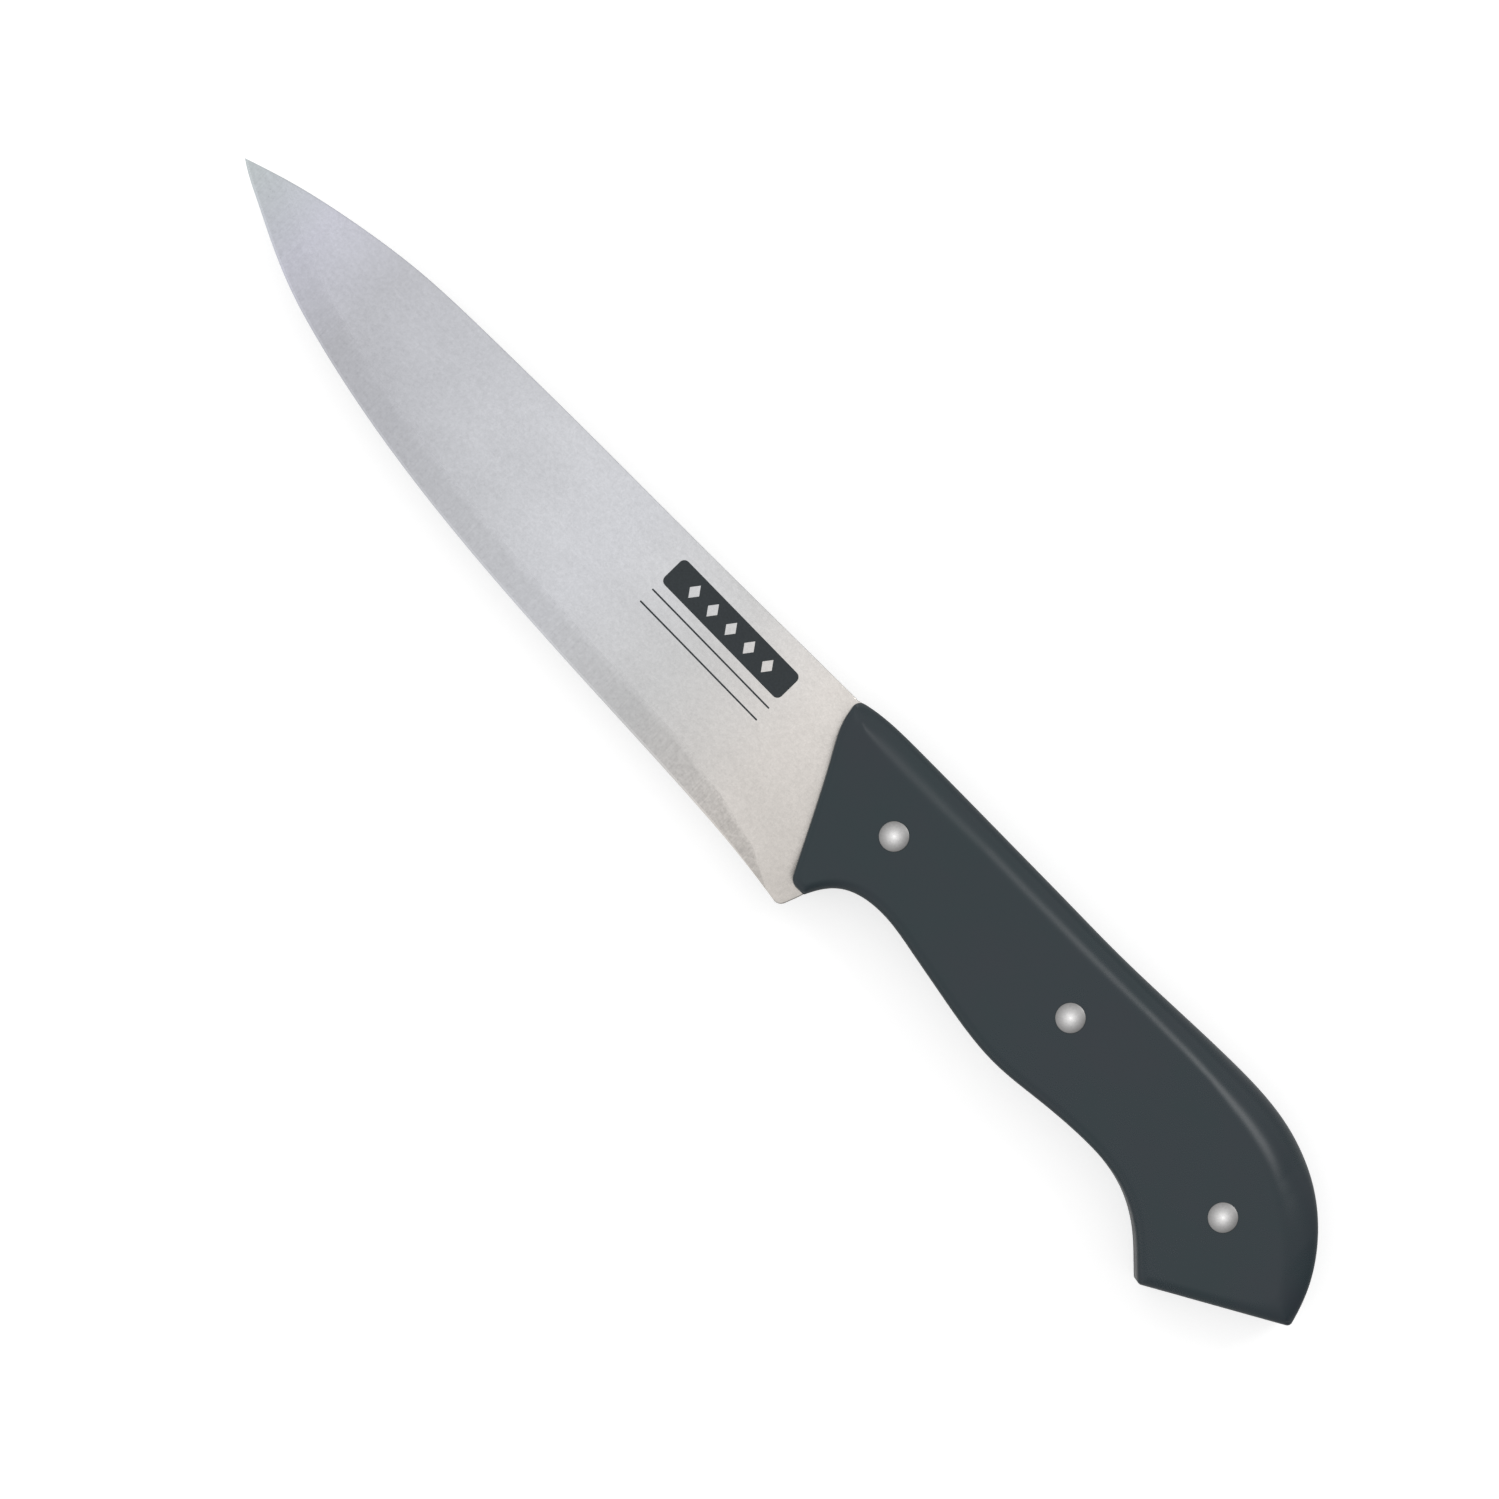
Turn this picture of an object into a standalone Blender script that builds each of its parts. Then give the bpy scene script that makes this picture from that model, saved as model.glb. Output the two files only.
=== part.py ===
"""Chef knife: one stamped blade with a full tang, two handle scales and three cutler's rivets.

The knife lies on its right side. +X runs from the tip to the butt, +Y from the cutting edge to
the spine, and +Z out of the left side. The origin is under the middle of the bounding box.
Outlines are given as (x, depth) in millimetres: x is measured from the front of the handle and
depth is measured down from the straight line of the spine.
"""
import math

import bmesh
import bpy
import numpy as np
from mathutils.geometry import delaunay_2d_cdt

MM = 0.001

# Thicknesses and clearances, in millimetres
STEEL = 1.8
SCALE = 7.2
GAP = 0.3
DOME = 0.4

# The blade's spine, from the tip to the handle
SPINE_KNOTS = (
    (-144.5, 8.0),
    (-134.5, 5.0),
    (-123.0, 2.55),
    (-109.0, 0.6),
    (-92.0, -0.06),
    (-70.0, -0.2),
    (-40.0, -0.07),
    (0.1, -0.12),
)
SPINE_HEADINGS = (-18.0, 0.0)

# The cutting edge, from the tip to the heel
EDGE_KNOTS = (
    (-144.5, 8.0),
    (-137.0, 12.15),
    (-131.0, 15.15),
    (-121.0, 19.35),
    (-113.5, 21.6),
    (-92.0, 26.22),
    (-64.0, 29.7),
    (-35.5, 31.6),
    (-10.0, 32.98),
    (4.0, 34.12),
    (15.85, 35.75),
)
EDGE_HEADINGS = (36.0, 9.0)
HEEL_RADIUS = 1.6

# The handle: spine side, butt, underside and front, each run starting where the last one ends
TOP_KNOTS = (
    (0.1, 0.0),
    (5.0, -1.02),
    (14.0, -1.35),
    (38.0, -1.03),
    (52.0, -0.8),
    (64.0, -0.6),
    (92.0, -1.26),
    (107.0, -0.1),
    (118.0, 4.4),
    (125.2, 10.8),
    (129.6, 17.5),
    (132.15, 24.9),
)
TOP_HEADINGS = (-18.0, 76.0)
BUTT_KNOTS = ((132.15, 24.9), (107.7, 38.5))
BUTT_HEADINGS = (150.9, 150.9)
UNDER_KNOTS = (
    (107.7, 38.5),
    (101.3, 32.5),
    (94.0, 28.4),
    (82.0, 27.03),
    (72.0, 27.75),
    (62.5, 28.53),
    (48.0, 26.72),
    (38.0, 24.8),
    (29.2, 23.7),
    (21.2, 26.0),
    (17.6, 31.1),
)
UNDER_HEADINGS = (-137.5, 114.0)
TOE_KNOTS = ((17.6, 31.1), (14.45, 31.15))
TOE_HEADINGS = (179.0, 179.0)
FRONT_KNOTS = ((14.45, 31.15), (3.75, 10.1), (0.8, 3.6), (0.1, 0.0))
FRONT_HEADINGS = (-116.9, -105.0)
HEEL_KNOTS = ((17.6, 31.1), (15.85, 35.75))
HEEL_HEADINGS = (106.0, 110.0)
BUTT_TOP_RADIUS = 1.0
BUTT_TOE_RADIUS = 1.0
UNDER_TOE_RADIUS = 0.5
FRONT_TOE_RADIUS = 2.2
FRONT_TOP_RADIUS = 1.6

# The blank thins towards the tip: x, and the share of its full thickness
TAPER_X = (-144.5, -95.0)
TAPER_SHARE = (0.45, 1.0)
# The ground band along the edge: distance in from the edge, and the share of the thickness there
BAND_IN = (0.0, 0.45, 4.7)
BAND_SHARE = (0.0, 0.15, 1.0)
# Where the band runs out in front of the heel: x along the edge, and the edge's share there
RUN_OUT_X = (-14.0, -6.5, 2.8, 7.4, 12.0, 13.2)
RUN_OUT_SHARE = (0.0, 0.11, 0.38, 0.53, 0.78, 1.0)

# How far in from the outline the scale's outer edge is rounded over along each run. Along the
# spine side the width goes with x, and the round is no deeper than ROUND_DEEP.
ROUND_TOP_X = (8.0, 15.0, 25.0, 35.0, 45.0, 65.0, 75.0, 85.0, 92.0, 98.0, 105.0, 116.0, 126.0, 132.0)
ROUND_TOP = (7.8, 7.4, 7.0, 6.3, 6.4, 6.2, 6.1, 6.6, 7.1, 8.3, 9.0, 9.2, 8.0, 6.0)
ROUND_BUTT = 2.2
ROUND_UNDER = 2.0
ROUND_TOE = 1.8
ROUND_FRONT = 1.2
# How deep the spine side's round may go: x, and the depth there
ROUND_DEEP_X = (8.0, 15.0, 25.0, 35.0, 45.0, 65.0, 75.0, 85.0, 92.0, 113.0, 124.0, 131.0)
ROUND_DEEP = (4.0, 4.5, 4.7, 4.7, 4.9, 4.9, 5.4, 6.1, 7.0, 7.0, 3.4, 2.4)
ROUND_RINGS = (0.12, 0.45, 1.1, 2.2, 4.0, 6.4, 9.2)

# The rivets: centres as (x, depth), then radii and depths
RIVETS = ((21.65, 12.58), (66.24, 13.45), (110.07, 19.55))
HEAD_RADIUS = 2.7
HEAD_DEPTH = 2.0
PIN_RADIUS = 1.0
BORE_RADIUS = 1.3
SLEEVE_RADIUS = 1.9
DOME_RINGS = 3
TURN_STEPS = 24

# How finely the outlines are cut into straight pieces
RUN_STEPS = 120
ARC_STEPS = 24
SAG = 0.025
LONGEST = 9.0
BAND_STEP = 6.0
WELD = 0.00001
OUTSIDE_STEP = 0.5
RING_SLACK = 0.02
RING_NEAREST = 0.25
CUTTER_OVERRUN = 1.0


def heading(degrees):
    angle = math.radians(degrees)
    return np.array([math.cos(angle), math.sin(angle)])


def run(knots, headings):
    """A smooth curve through the knots that leaves and arrives along the two headings."""
    p = np.array(knots, float)
    span = np.linalg.norm(np.diff(p, axis=0), axis=1)
    count = len(p)
    matrix = np.eye(count)
    slopes = np.zeros((count, 2))
    slopes[0] = heading(headings[0])
    slopes[-1] = heading(headings[1])
    for i in range(1, count - 1):
        before, after = span[i - 1], span[i]
        matrix[i, i - 1 : i + 2] = 1 / before, 2 / before + 2 / after, 1 / after
        slopes[i] = 3 * ((p[i] - p[i - 1]) / before**2 + (p[i + 1] - p[i]) / after**2)
    slopes = np.linalg.solve(matrix, slopes)
    pieces = []
    for i in range(count - 1):
        s = np.linspace(0.0, 1.0, RUN_STEPS, endpoint=False)[:, None]
        pieces.append(
            (2 * s**3 - 3 * s**2 + 1) * p[i]
            + (s**3 - 2 * s**2 + s) * span[i] * slopes[i]
            + (3 * s**2 - 2 * s**3) * p[i + 1]
            + (s**3 - s**2) * span[i] * slopes[i + 1]
        )
    return np.concatenate(pieces + [p[-1:]])


def left_normals(points, closed=False):
    """Unit normals to the left of the direction of travel."""
    if closed:
        along = np.roll(points, -1, axis=0) - np.roll(points, 1, axis=0)
    else:
        along = np.gradient(points, axis=0)
    along = along / np.linalg.norm(along, axis=1)[:, None]
    return np.stack([-along[:, 1], along[:, 0]], axis=1)


def round_corner(first, second, radius):
    """Cut back two runs that meet at a corner and join them with an arc tangent to both."""
    a, b = first[-1] - first[-2], second[1] - second[0]
    side = math.copysign(radius, a[0] * b[1] - a[1] * b[0])
    first_in = first + side * left_normals(first)
    second_in = second + side * left_normals(second)
    apart = np.linalg.norm(first_in[:, None] - second_in[None], axis=2)
    i, j = np.unravel_index(apart.argmin(), apart.shape)
    centre = (first_in[i] + second_in[j]) / 2
    start, end = first[i] - centre, second[j] - centre
    from_angle = math.atan2(start[1], start[0])
    turn = math.atan2(end[1], end[0]) - from_angle
    turn -= 2 * math.pi * round(turn / (2 * math.pi))
    arc = []
    for s in np.linspace(0.0, 1.0, ARC_STEPS + 1):
        reach = (1 - s) * np.linalg.norm(start) + s * np.linalg.norm(end)
        angle = from_angle + s * turn
        arc.append(centre + reach * np.array([math.cos(angle), math.sin(angle)]))
    return first[:i], np.array(arc), second[j + 1 :]


def thin(points):
    """Drop the points that a straight chord can stand in for."""
    kept = [0]
    while kept[-1] < len(points) - 1:
        start = kept[-1]
        best = start + 1
        for end in range(start + 2, len(points)):
            chord = points[end] - points[start]
            length = np.linalg.norm(chord)
            away = points[start + 1 : end] - points[start]
            off = np.abs(away[:, 0] * chord[1] - away[:, 1] * chord[0]).max() / length
            if off > SAG or length > LONGEST:
                break
            best = end
        kept.append(best)
    return points[kept]


def distance(points, line):
    """Each point's distance to an open line, and the nearest place on the line."""
    start, chord = line[:-1], np.diff(line, axis=0)
    away = points[:, None] - start[None]
    s = np.clip((away * chord).sum(2) / (chord**2).sum(1), 0.0, 1.0)
    near = start[None] + s[..., None] * chord[None]
    apart = np.linalg.norm(points[:, None] - near, axis=2)
    best = apart.argmin(1)
    rows = np.arange(len(points))
    return apart[rows, best], near[rows, best]


def inside(points, loop):
    """Which of the points lie inside a closed loop."""
    x, y = points[:, 0][:, None], points[:, 1][:, None]
    x0, y0 = loop[:, 0], loop[:, 1]
    x1, y1 = np.roll(x0, -1), np.roll(y0, -1)
    spans = (y0 > y) != (y1 > y)
    rise = np.where(y1 == y0, 1.0, y1 - y0)
    crossing = spans & (x < x0 + (y - y0) * (x1 - x0) / rise)
    return crossing.sum(1) % 2 == 1


def circle(centre, radius):
    turns = np.linspace(0.0, 2 * math.pi, TURN_STEPS, endpoint=False)
    return np.array(centre) + radius * np.stack([np.cos(turns), np.sin(turns)], axis=1)


def plan(outline, holes, lines):
    """Triangles that fill the outline, leave the holes open and follow the lines."""
    coords, edges = [], []
    for points, closed in [(outline, True)] + [(h, True) for h in holes] + lines:
        base = len(coords)
        coords += [tuple(p) for p in points.tolist()]
        edges += [(base + i, base + i + 1) for i in range(len(points) - 1)]
        if closed:
            edges.append((base + len(points) - 1, base))
    result = delaunay_2d_cdt(coords, edges, [], 0, WELD / MM, False)
    points = np.array([tuple(v) for v in result[0]])
    faces = np.array([tuple(f) for f in result[2]])
    middles = points[faces].mean(axis=1)
    keep = inside(middles, outline)
    for hole in holes:
        keep &= ~inside(middles, hole)
    return points, faces[keep]


def add_object(name, vertices, faces, material):
    """A mesh object from vertices in millimetres, closed and facing out."""
    mesh = bpy.data.meshes.new(name)
    mesh.from_pydata([(x * MM, y * MM, z * MM) for x, y, z in vertices], [], faces)
    body = bmesh.new()
    body.from_mesh(mesh)
    bmesh.ops.delete(body, geom=[v for v in body.verts if not v.link_faces], context="VERTS")
    bmesh.ops.recalc_face_normals(body, faces=body.faces)
    body.to_mesh(mesh)
    body.free()
    mesh.materials.append(material)
    piece = bpy.data.objects.new(name, mesh)
    bpy.context.scene.collection.objects.link(piece)
    return piece


def solid(name, points, faces, top, bottom, material):
    """A closed solid between two heights over a plan, with walls where the heights differ."""
    count = len(points)
    shared = top - bottom < WELD / MM
    place = centred(points)
    vertices = [(x, y, z) for (x, y), z in zip(place, top)]
    vertices += [(x, y, z) for (x, y), z in zip(place, bottom)]
    under = np.where(shared, np.arange(count), np.arange(count) + count)
    polygons = [tuple(f) for f in faces.tolist()]
    polygons += [tuple(int(under[v]) for v in reversed(f)) for f in faces.tolist()]
    seen = {}
    for f in faces.tolist():
        for a, b in zip(f, f[1:] + f[:1]):
            seen.setdefault((min(a, b), max(a, b)), []).append((a, b))
    for uses in seen.values():
        if len(uses) == 1:
            a, b = uses[0]
            wall = (b, a, int(under[a]), int(under[b]))
            wall = tuple(dict.fromkeys(wall))
            if len(wall) > 2:
                polygons.append(wall)
    return add_object(name, vertices, polygons, material)


def turned(name, centre, profile, material):
    """A solid turned about a vertical axis from a profile of (radius, height)."""
    x, y = centred(np.array([centre]))[0]
    vertices, rings = [], []
    for radius, height in profile:
        turns = TURN_STEPS if radius > 0 else 1
        rings.append(range(len(vertices), len(vertices) + turns))
        for i in range(turns):
            angle = 2 * math.pi * i / TURN_STEPS
            vertices.append((x + radius * math.cos(angle), y + radius * math.sin(angle), height))
    polygons = []
    for first, second in zip(rings, rings[1:]):
        for i in range(TURN_STEPS):
            a, b = first[i % len(first)], first[(i + 1) % len(first)]
            c, d = second[(i + 1) % len(second)], second[i % len(second)]
            polygons.append(tuple(dict.fromkeys((a, b, c, d))))
    return add_object(name, vertices, polygons, material)


def metal_or_moulding(name, colour, metallic, roughness):
    material = bpy.data.materials.new(name)
    material.use_nodes = True
    shader = material.node_tree.nodes["Principled BSDF"]
    shader.inputs["Base Color"].default_value = (*colour, 1.0)
    shader.inputs["Metallic"].default_value = metallic
    shader.inputs["Roughness"].default_value = roughness
    return material


for old in list(bpy.data.objects):
    bpy.data.objects.remove(old, do_unlink=True)

# The outlines, corner by corner
spine = np.concatenate([run(SPINE_KNOTS, SPINE_HEADINGS), np.array([TOP_KNOTS[0]])])
edge = run(EDGE_KNOTS, EDGE_HEADINGS)
heel = run(HEEL_KNOTS, HEEL_HEADINGS)[::-1]
top_run = run(TOP_KNOTS, TOP_HEADINGS)
butt_run = run(BUTT_KNOTS, BUTT_HEADINGS)
under_run = run(UNDER_KNOTS, UNDER_HEADINGS)
toe_run = run(TOE_KNOTS, TOE_HEADINGS)
front_run = run(FRONT_KNOTS, FRONT_HEADINGS)

edge_cut, heel_arc, heel_cut = round_corner(edge, heel, HEEL_RADIUS)
top_cut, far_arc, butt_cut = round_corner(top_run, butt_run, BUTT_TOP_RADIUS)
butt_cut, hook_arc, under_cut = round_corner(butt_cut, under_run, BUTT_TOE_RADIUS)
back_of_handle = np.concatenate([top_cut, far_arc, butt_cut, hook_arc])

edge_line = thin(edge_cut)
steel_loop = np.concatenate(
    [
        thin(np.concatenate([spine, back_of_handle[1:], under_cut]))[:-1],
        thin(np.concatenate([heel_cut[::-1], heel_arc[::-1]]))[:-1],
        edge_line[:0:-1],
    ]
)

under_end, toe_arc, toe_cut = round_corner(under_cut, toe_run, UNDER_TOE_RADIUS)
toe_cut, nose_arc, front_cut = round_corner(toe_cut, front_run, FRONT_TOE_RADIUS)
front_cut, brow_arc, top_start = round_corner(front_cut, top_run, FRONT_TOP_RADIUS)
shortened = len(top_run) - len(top_start)
scale_loop = thin(
    np.concatenate(
        [
            brow_arc,
            back_of_handle[shortened:],
            under_end,
            toe_arc,
            toe_cut,
            nose_arc,
            front_cut,
        ]
    )
)

everything = np.concatenate([steel_loop, scale_loop])
middle = (everything.min(axis=0) + everything.max(axis=0)) / 2
# Height of the blade's middle plane above the face that the knife lies on
MID = DOME + SCALE + GAP + STEEL / 2


def centred(points):
    """From (x, depth) to the part's own x and y."""
    return np.stack([points[:, 0] - middle[0], middle[1] - points[:, 1]], axis=1)


steel = metal_or_moulding("satin_steel", (0.60, 0.61, 0.62), 1.0, 0.35)
moulding = metal_or_moulding("dark_moulding", (0.045, 0.055, 0.060), 0.0, 0.50)
bright = metal_or_moulding("bright_rivet", (0.72, 0.72, 0.72), 1.0, 0.20)

# Blade and tang: a flat blank, ground on both sides along the edge
blank_half = STEEL / 2
edge_share = np.interp(edge_line[:, 0], RUN_OUT_X, RUN_OUT_SHARE)
shoulder_in = np.interp(1 - edge_share, BAND_SHARE, BAND_IN)
hone_in = np.minimum(shoulder_in, BAND_IN[1])
away_from_edge = -left_normals(edge_line)
band_lines = []
for inset in (hone_in, shoulder_in):
    line = edge_line + inset[:, None] * away_from_edge
    offset_real = distance(line, edge_line)[0] > inset - RING_SLACK
    within = inside(line, steel_loop) & offset_real & (inset > RING_NEAREST)
    first = int(within.argmax())
    last = len(within) - int(within[::-1].argmax())
    line = line[first:last]
    outside = line[0] - OUTSIDE_STEP * (line[1] - line[0]) / np.linalg.norm(line[1] - line[0])
    band_lines.append((np.concatenate([[outside], line]), False))
# The taper starts along a straight line across the blank
across = np.array([(TAPER_X[1], TOP_KNOTS[2][1]), (TAPER_X[1], EDGE_KNOTS[-1][1])])
band_lines.append((across, False))
shank_holes = [circle(c, SLEEVE_RADIUS + GAP) for c in RIVETS]
points, faces = plan(steel_loop, shank_holes, band_lines)
from_edge, nearest = distance(points, edge_line)
taper = np.interp(points[:, 0], TAPER_X, TAPER_SHARE)
here_share = np.interp(nearest[:, 0], RUN_OUT_X, RUN_OUT_SHARE)
ground_share = np.minimum(1.0, here_share + np.interp(from_edge, BAND_IN, BAND_SHARE))
half = blank_half * taper * ground_share
blade = solid("blade", points, faces, MID + half, MID - half, steel)

# Handle scales: flat inside, rounded over outside, with a stepped hole for each rivet
runs = (top_run, butt_run, under_run, toe_run, front_run)
closed_loop = np.concatenate([scale_loop, scale_loop[:1]])
inward = left_normals(scale_loop, closed=True)
if not inside((scale_loop + RING_SLACK * inward)[:1], scale_loop)[0]:
    inward = -inward
rings = []
for inset in ROUND_RINGS:
    ring = scale_loop + inset * inward
    ring = ring[distance(ring, closed_loop)[0] > inset - RING_SLACK]
    step = np.linalg.norm(ring - np.roll(ring, 1, axis=0), axis=1)
    rings.append((ring[step > RING_NEAREST], True))
points, faces = plan(scale_loop, [], rings)
from_outline = distance(points, closed_loop)[0]
weights = [1 / (distance(points, thin(line))[0] + RING_NEAREST) ** 2 for line in runs]
round_top = np.interp(points[:, 0], ROUND_TOP_X, ROUND_TOP)
radii = (round_top, ROUND_BUTT, ROUND_UNDER, ROUND_TOE, ROUND_FRONT)
radius = sum(w * r for w, r in zip(weights, radii)) / sum(weights)
lean = np.clip(1 - from_outline / radius, 0.0, 1.0)
deepest = np.interp(points[:, 0], ROUND_DEEP_X, ROUND_DEEP)
drop = np.minimum(radius, deepest) * (1 - np.sqrt(1 - lean**2))
drop[from_outline > ROUND_RINGS[-1] - RING_SLACK] = 0.0
inner = np.full(len(points), blank_half + GAP)
outer = blank_half + GAP + SCALE - drop
left = solid("handle_scale_left", points, faces, MID + outer, MID + inner, moulding)
right = solid("handle_scale_right", points, faces, MID - inner, MID - outer, moulding)

# Rivets: a domed head with a pin on the left, a domed head with a tube for it on the right
face_height = blank_half + GAP + SCALE
seat_height = face_height - HEAD_DEPTH
tube_end = seat_height - GAP
pin_end = -(seat_height - GAP)
bore_end = pin_end - GAP
ball = (HEAD_RADIUS**2 + DOME**2) / (2 * DOME)
head = []
for i in range(DOME_RINGS + 1):
    r = HEAD_RADIUS * i / DOME_RINGS
    head.append((r, face_height + DOME - ball + math.sqrt(ball**2 - r**2)))
head.append((HEAD_RADIUS, seat_height + GAP))
pin = head + [(PIN_RADIUS, seat_height + GAP), (PIN_RADIUS, pin_end), (0.0, pin_end)]
tube = [(r, -z) for r, z in head]
tube += [(SLEEVE_RADIUS, -seat_height - GAP), (SLEEVE_RADIUS, tube_end)]
tube += [(BORE_RADIUS, tube_end), (BORE_RADIUS, bore_end), (0.0, bore_end)]
for number, centre in enumerate(RIVETS, start=1):
    turned(f"rivet_pin_{number}", centre, [(r, MID + z) for r, z in pin], bright)
    turned(f"rivet_sleeve_{number}", centre, [(r, MID + z) for r, z in tube], bright)

# The stepped holes, cut through the scales
hole_profile = (
    (0.0, face_height + CUTTER_OVERRUN),
    (HEAD_RADIUS + GAP, face_height + CUTTER_OVERRUN),
    (HEAD_RADIUS + GAP, seat_height),
    (SLEEVE_RADIUS + GAP, seat_height),
    (SLEEVE_RADIUS + GAP, blank_half + GAP - CUTTER_OVERRUN / 2),
    (0.0, blank_half + GAP - CUTTER_OVERRUN / 2),
)
for scale, side in ((left, 1), (right, -1)):
    for number, centre in enumerate(RIVETS, start=1):
        profile = [(r, MID + side * z) for r, z in hole_profile]
        cutter = turned(f"cutter_{scale.name}_{number}", centre, profile, moulding)
        cutter.hide_render = True
        cutter.display_type = "WIRE"
        cut = scale.modifiers.new(f"rivet_hole_{number}", "BOOLEAN")
        cut.operation = "DIFFERENCE"
        cut.solver = "EXACT"
        cut.object = cutter
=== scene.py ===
"""A chef knife lying on its right side on a pale floor, seen from straight above.

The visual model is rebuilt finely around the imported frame: the blade with its tang, two handle
scales and the two halves of each of three rivets. Sizes are in millimetres unless a comment says
metres. Outlines are given as (x, depth): x is measured from the front of the handle and depth
down from the straight line of the spine.
"""
import math

import bmesh
import bpy
import numpy as np
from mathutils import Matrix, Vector
from mathutils.geometry import delaunay_2d_cdt


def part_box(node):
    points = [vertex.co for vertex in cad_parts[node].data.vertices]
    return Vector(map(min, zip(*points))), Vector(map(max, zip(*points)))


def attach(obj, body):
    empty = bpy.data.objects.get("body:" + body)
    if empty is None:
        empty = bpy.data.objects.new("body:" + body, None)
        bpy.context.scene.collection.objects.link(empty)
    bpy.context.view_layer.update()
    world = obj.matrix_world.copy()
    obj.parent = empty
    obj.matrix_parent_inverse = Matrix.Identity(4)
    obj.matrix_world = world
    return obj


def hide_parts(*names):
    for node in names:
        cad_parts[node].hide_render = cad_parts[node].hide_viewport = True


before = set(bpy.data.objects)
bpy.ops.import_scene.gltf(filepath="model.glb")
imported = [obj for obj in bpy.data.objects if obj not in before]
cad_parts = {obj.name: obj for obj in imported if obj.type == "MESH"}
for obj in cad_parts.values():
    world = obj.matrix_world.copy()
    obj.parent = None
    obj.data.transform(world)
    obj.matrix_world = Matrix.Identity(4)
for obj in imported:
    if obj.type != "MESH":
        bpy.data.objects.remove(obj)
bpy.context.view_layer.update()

MM = 0.001

# Where the frame puts the pieces
blade_low, blade_high = (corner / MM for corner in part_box("blade"))
rivet_low, rivet_high = (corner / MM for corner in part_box("rivet_pin_1"))
scale_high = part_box("handle_scale_left")[1] / MM
STEEL_HALF = (blade_high.z - blade_low.z) / 2
MID = (blade_high.z + blade_low.z) / 2
FACE = scale_high.z - MID
HEAD_RADIUS = (rivet_high.x - rivet_low.x) / 2
DOME = rivet_high.z - scale_high.z

# The blade's spine, from the tip to the handle
SPINE_KNOTS = (
    (-144.5, 8.0),
    (-134.5, 5.0),
    (-123.0, 2.55),
    (-109.0, 0.6),
    (-92.0, -0.06),
    (-70.0, -0.2),
    (-40.0, -0.07),
    (0.1, -0.12),
)
SPINE_HEADINGS = (-18.0, 0.0)

# The cutting edge, from the tip to the heel
EDGE_KNOTS = (
    (-144.5, 8.0),
    (-137.0, 12.15),
    (-131.0, 15.15),
    (-121.0, 19.35),
    (-113.5, 21.6),
    (-92.0, 26.22),
    (-64.0, 29.7),
    (-35.5, 31.6),
    (-10.0, 32.98),
    (4.0, 34.12),
    (15.85, 35.75),
)
EDGE_HEADINGS = (36.0, 9.0)
HEEL_RADIUS = 1.6

# The handle: spine side, butt, underside and front, each run starting where the last one ends
TOP_KNOTS = (
    (0.1, 0.0),
    (5.0, -1.02),
    (14.0, -1.35),
    (38.0, -1.03),
    (52.0, -0.8),
    (64.0, -0.6),
    (92.0, -1.26),
    (107.0, -0.1),
    (118.0, 4.4),
    (125.2, 10.8),
    (129.6, 17.5),
    (132.15, 24.9),
)
TOP_HEADINGS = (-18.0, 76.0)
BUTT_KNOTS = ((132.15, 24.9), (107.7, 38.5))
BUTT_HEADINGS = (150.9, 150.9)
UNDER_KNOTS = (
    (107.7, 38.5),
    (101.3, 32.5),
    (94.0, 28.4),
    (82.0, 27.03),
    (72.0, 27.75),
    (62.5, 28.53),
    (48.0, 26.72),
    (38.0, 24.8),
    (29.2, 23.7),
    (21.2, 26.0),
    (17.6, 31.1),
)
UNDER_HEADINGS = (-137.5, 114.0)
TOE_KNOTS = ((17.6, 31.1), (14.45, 31.15))
TOE_HEADINGS = (179.0, 179.0)
FRONT_KNOTS = ((14.45, 31.15), (3.75, 10.1), (0.8, 3.6), (0.1, 0.0))
FRONT_HEADINGS = (-116.9, -105.0)
HEEL_KNOTS = ((17.6, 31.1), (15.85, 35.75))
HEEL_HEADINGS = (106.0, 110.0)
BUTT_TOP_RADIUS = 1.0
BUTT_TOE_RADIUS = 1.0
UNDER_TOE_RADIUS = 0.5
FRONT_TOE_RADIUS = 2.2
FRONT_TOP_RADIUS = 1.6

# The blank thins towards the tip: x, and the share of its full thickness
TAPER_X = (-144.5, -95.0)
TAPER_SHARE = (0.45, 1.0)
# The line across the blade where the thinning starts runs between these depths
TAPER_LINE = (-2.0, 30.0)
# The ground band along the edge: its width, places across it in shares of that width, the share of
# the thickness that each reaches, from the honed edge over the crest to the flat, and the crest's
# place across it
BAND_WIDTH = 5.0
BAND_ACROSS = (0.0, 0.09, 0.11, 0.91, 0.93, 0.98, 1.04, 1.12)
BAND_SHARE = (0.0, 0.15, 0.169, 0.936, 0.955, 0.984, 0.997, 1.0)
BAND_CREST = 0.93
# Where the band runs out in front of the heel: x along the edge, and the edge's share there
RUN_OUT_X = (-17.0, -12.0, -6.0, 0.0, 5.0, 9.0, 12.5)
RUN_OUT_SHARE = (0.0, 0.12, 0.20, 0.37, 0.50, 0.77, 1.0)
# The small round along the spine and the heel, how far in each line that shapes it lies, and the
# most that it takes off the thickness, as a share
BREAK = 0.22
BREAK_INSETS = (0.02, 0.065, 0.13, 0.22)
BREAK_MOST = 0.5

# How far in from the outline the scale's outer edge is rounded over along each run. Along the
# spine side that width goes with x.
ROUND_TOP_X = (8.0, 15.0, 25.0, 35.0, 45.0, 65.0, 75.0, 85.0, 92.0, 98.0, 105.0, 116.0, 126.0, 132.0)
ROUND_TOP = (7.8, 7.4, 7.0, 6.3, 6.4, 6.2, 6.1, 6.6, 7.1, 8.3, 9.0, 9.2, 8.0, 6.0)
ROUND_BUTT = 2.2
ROUND_UNDER = 2.0
ROUND_TOE = 1.8
ROUND_FRONT = 1.2
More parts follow.
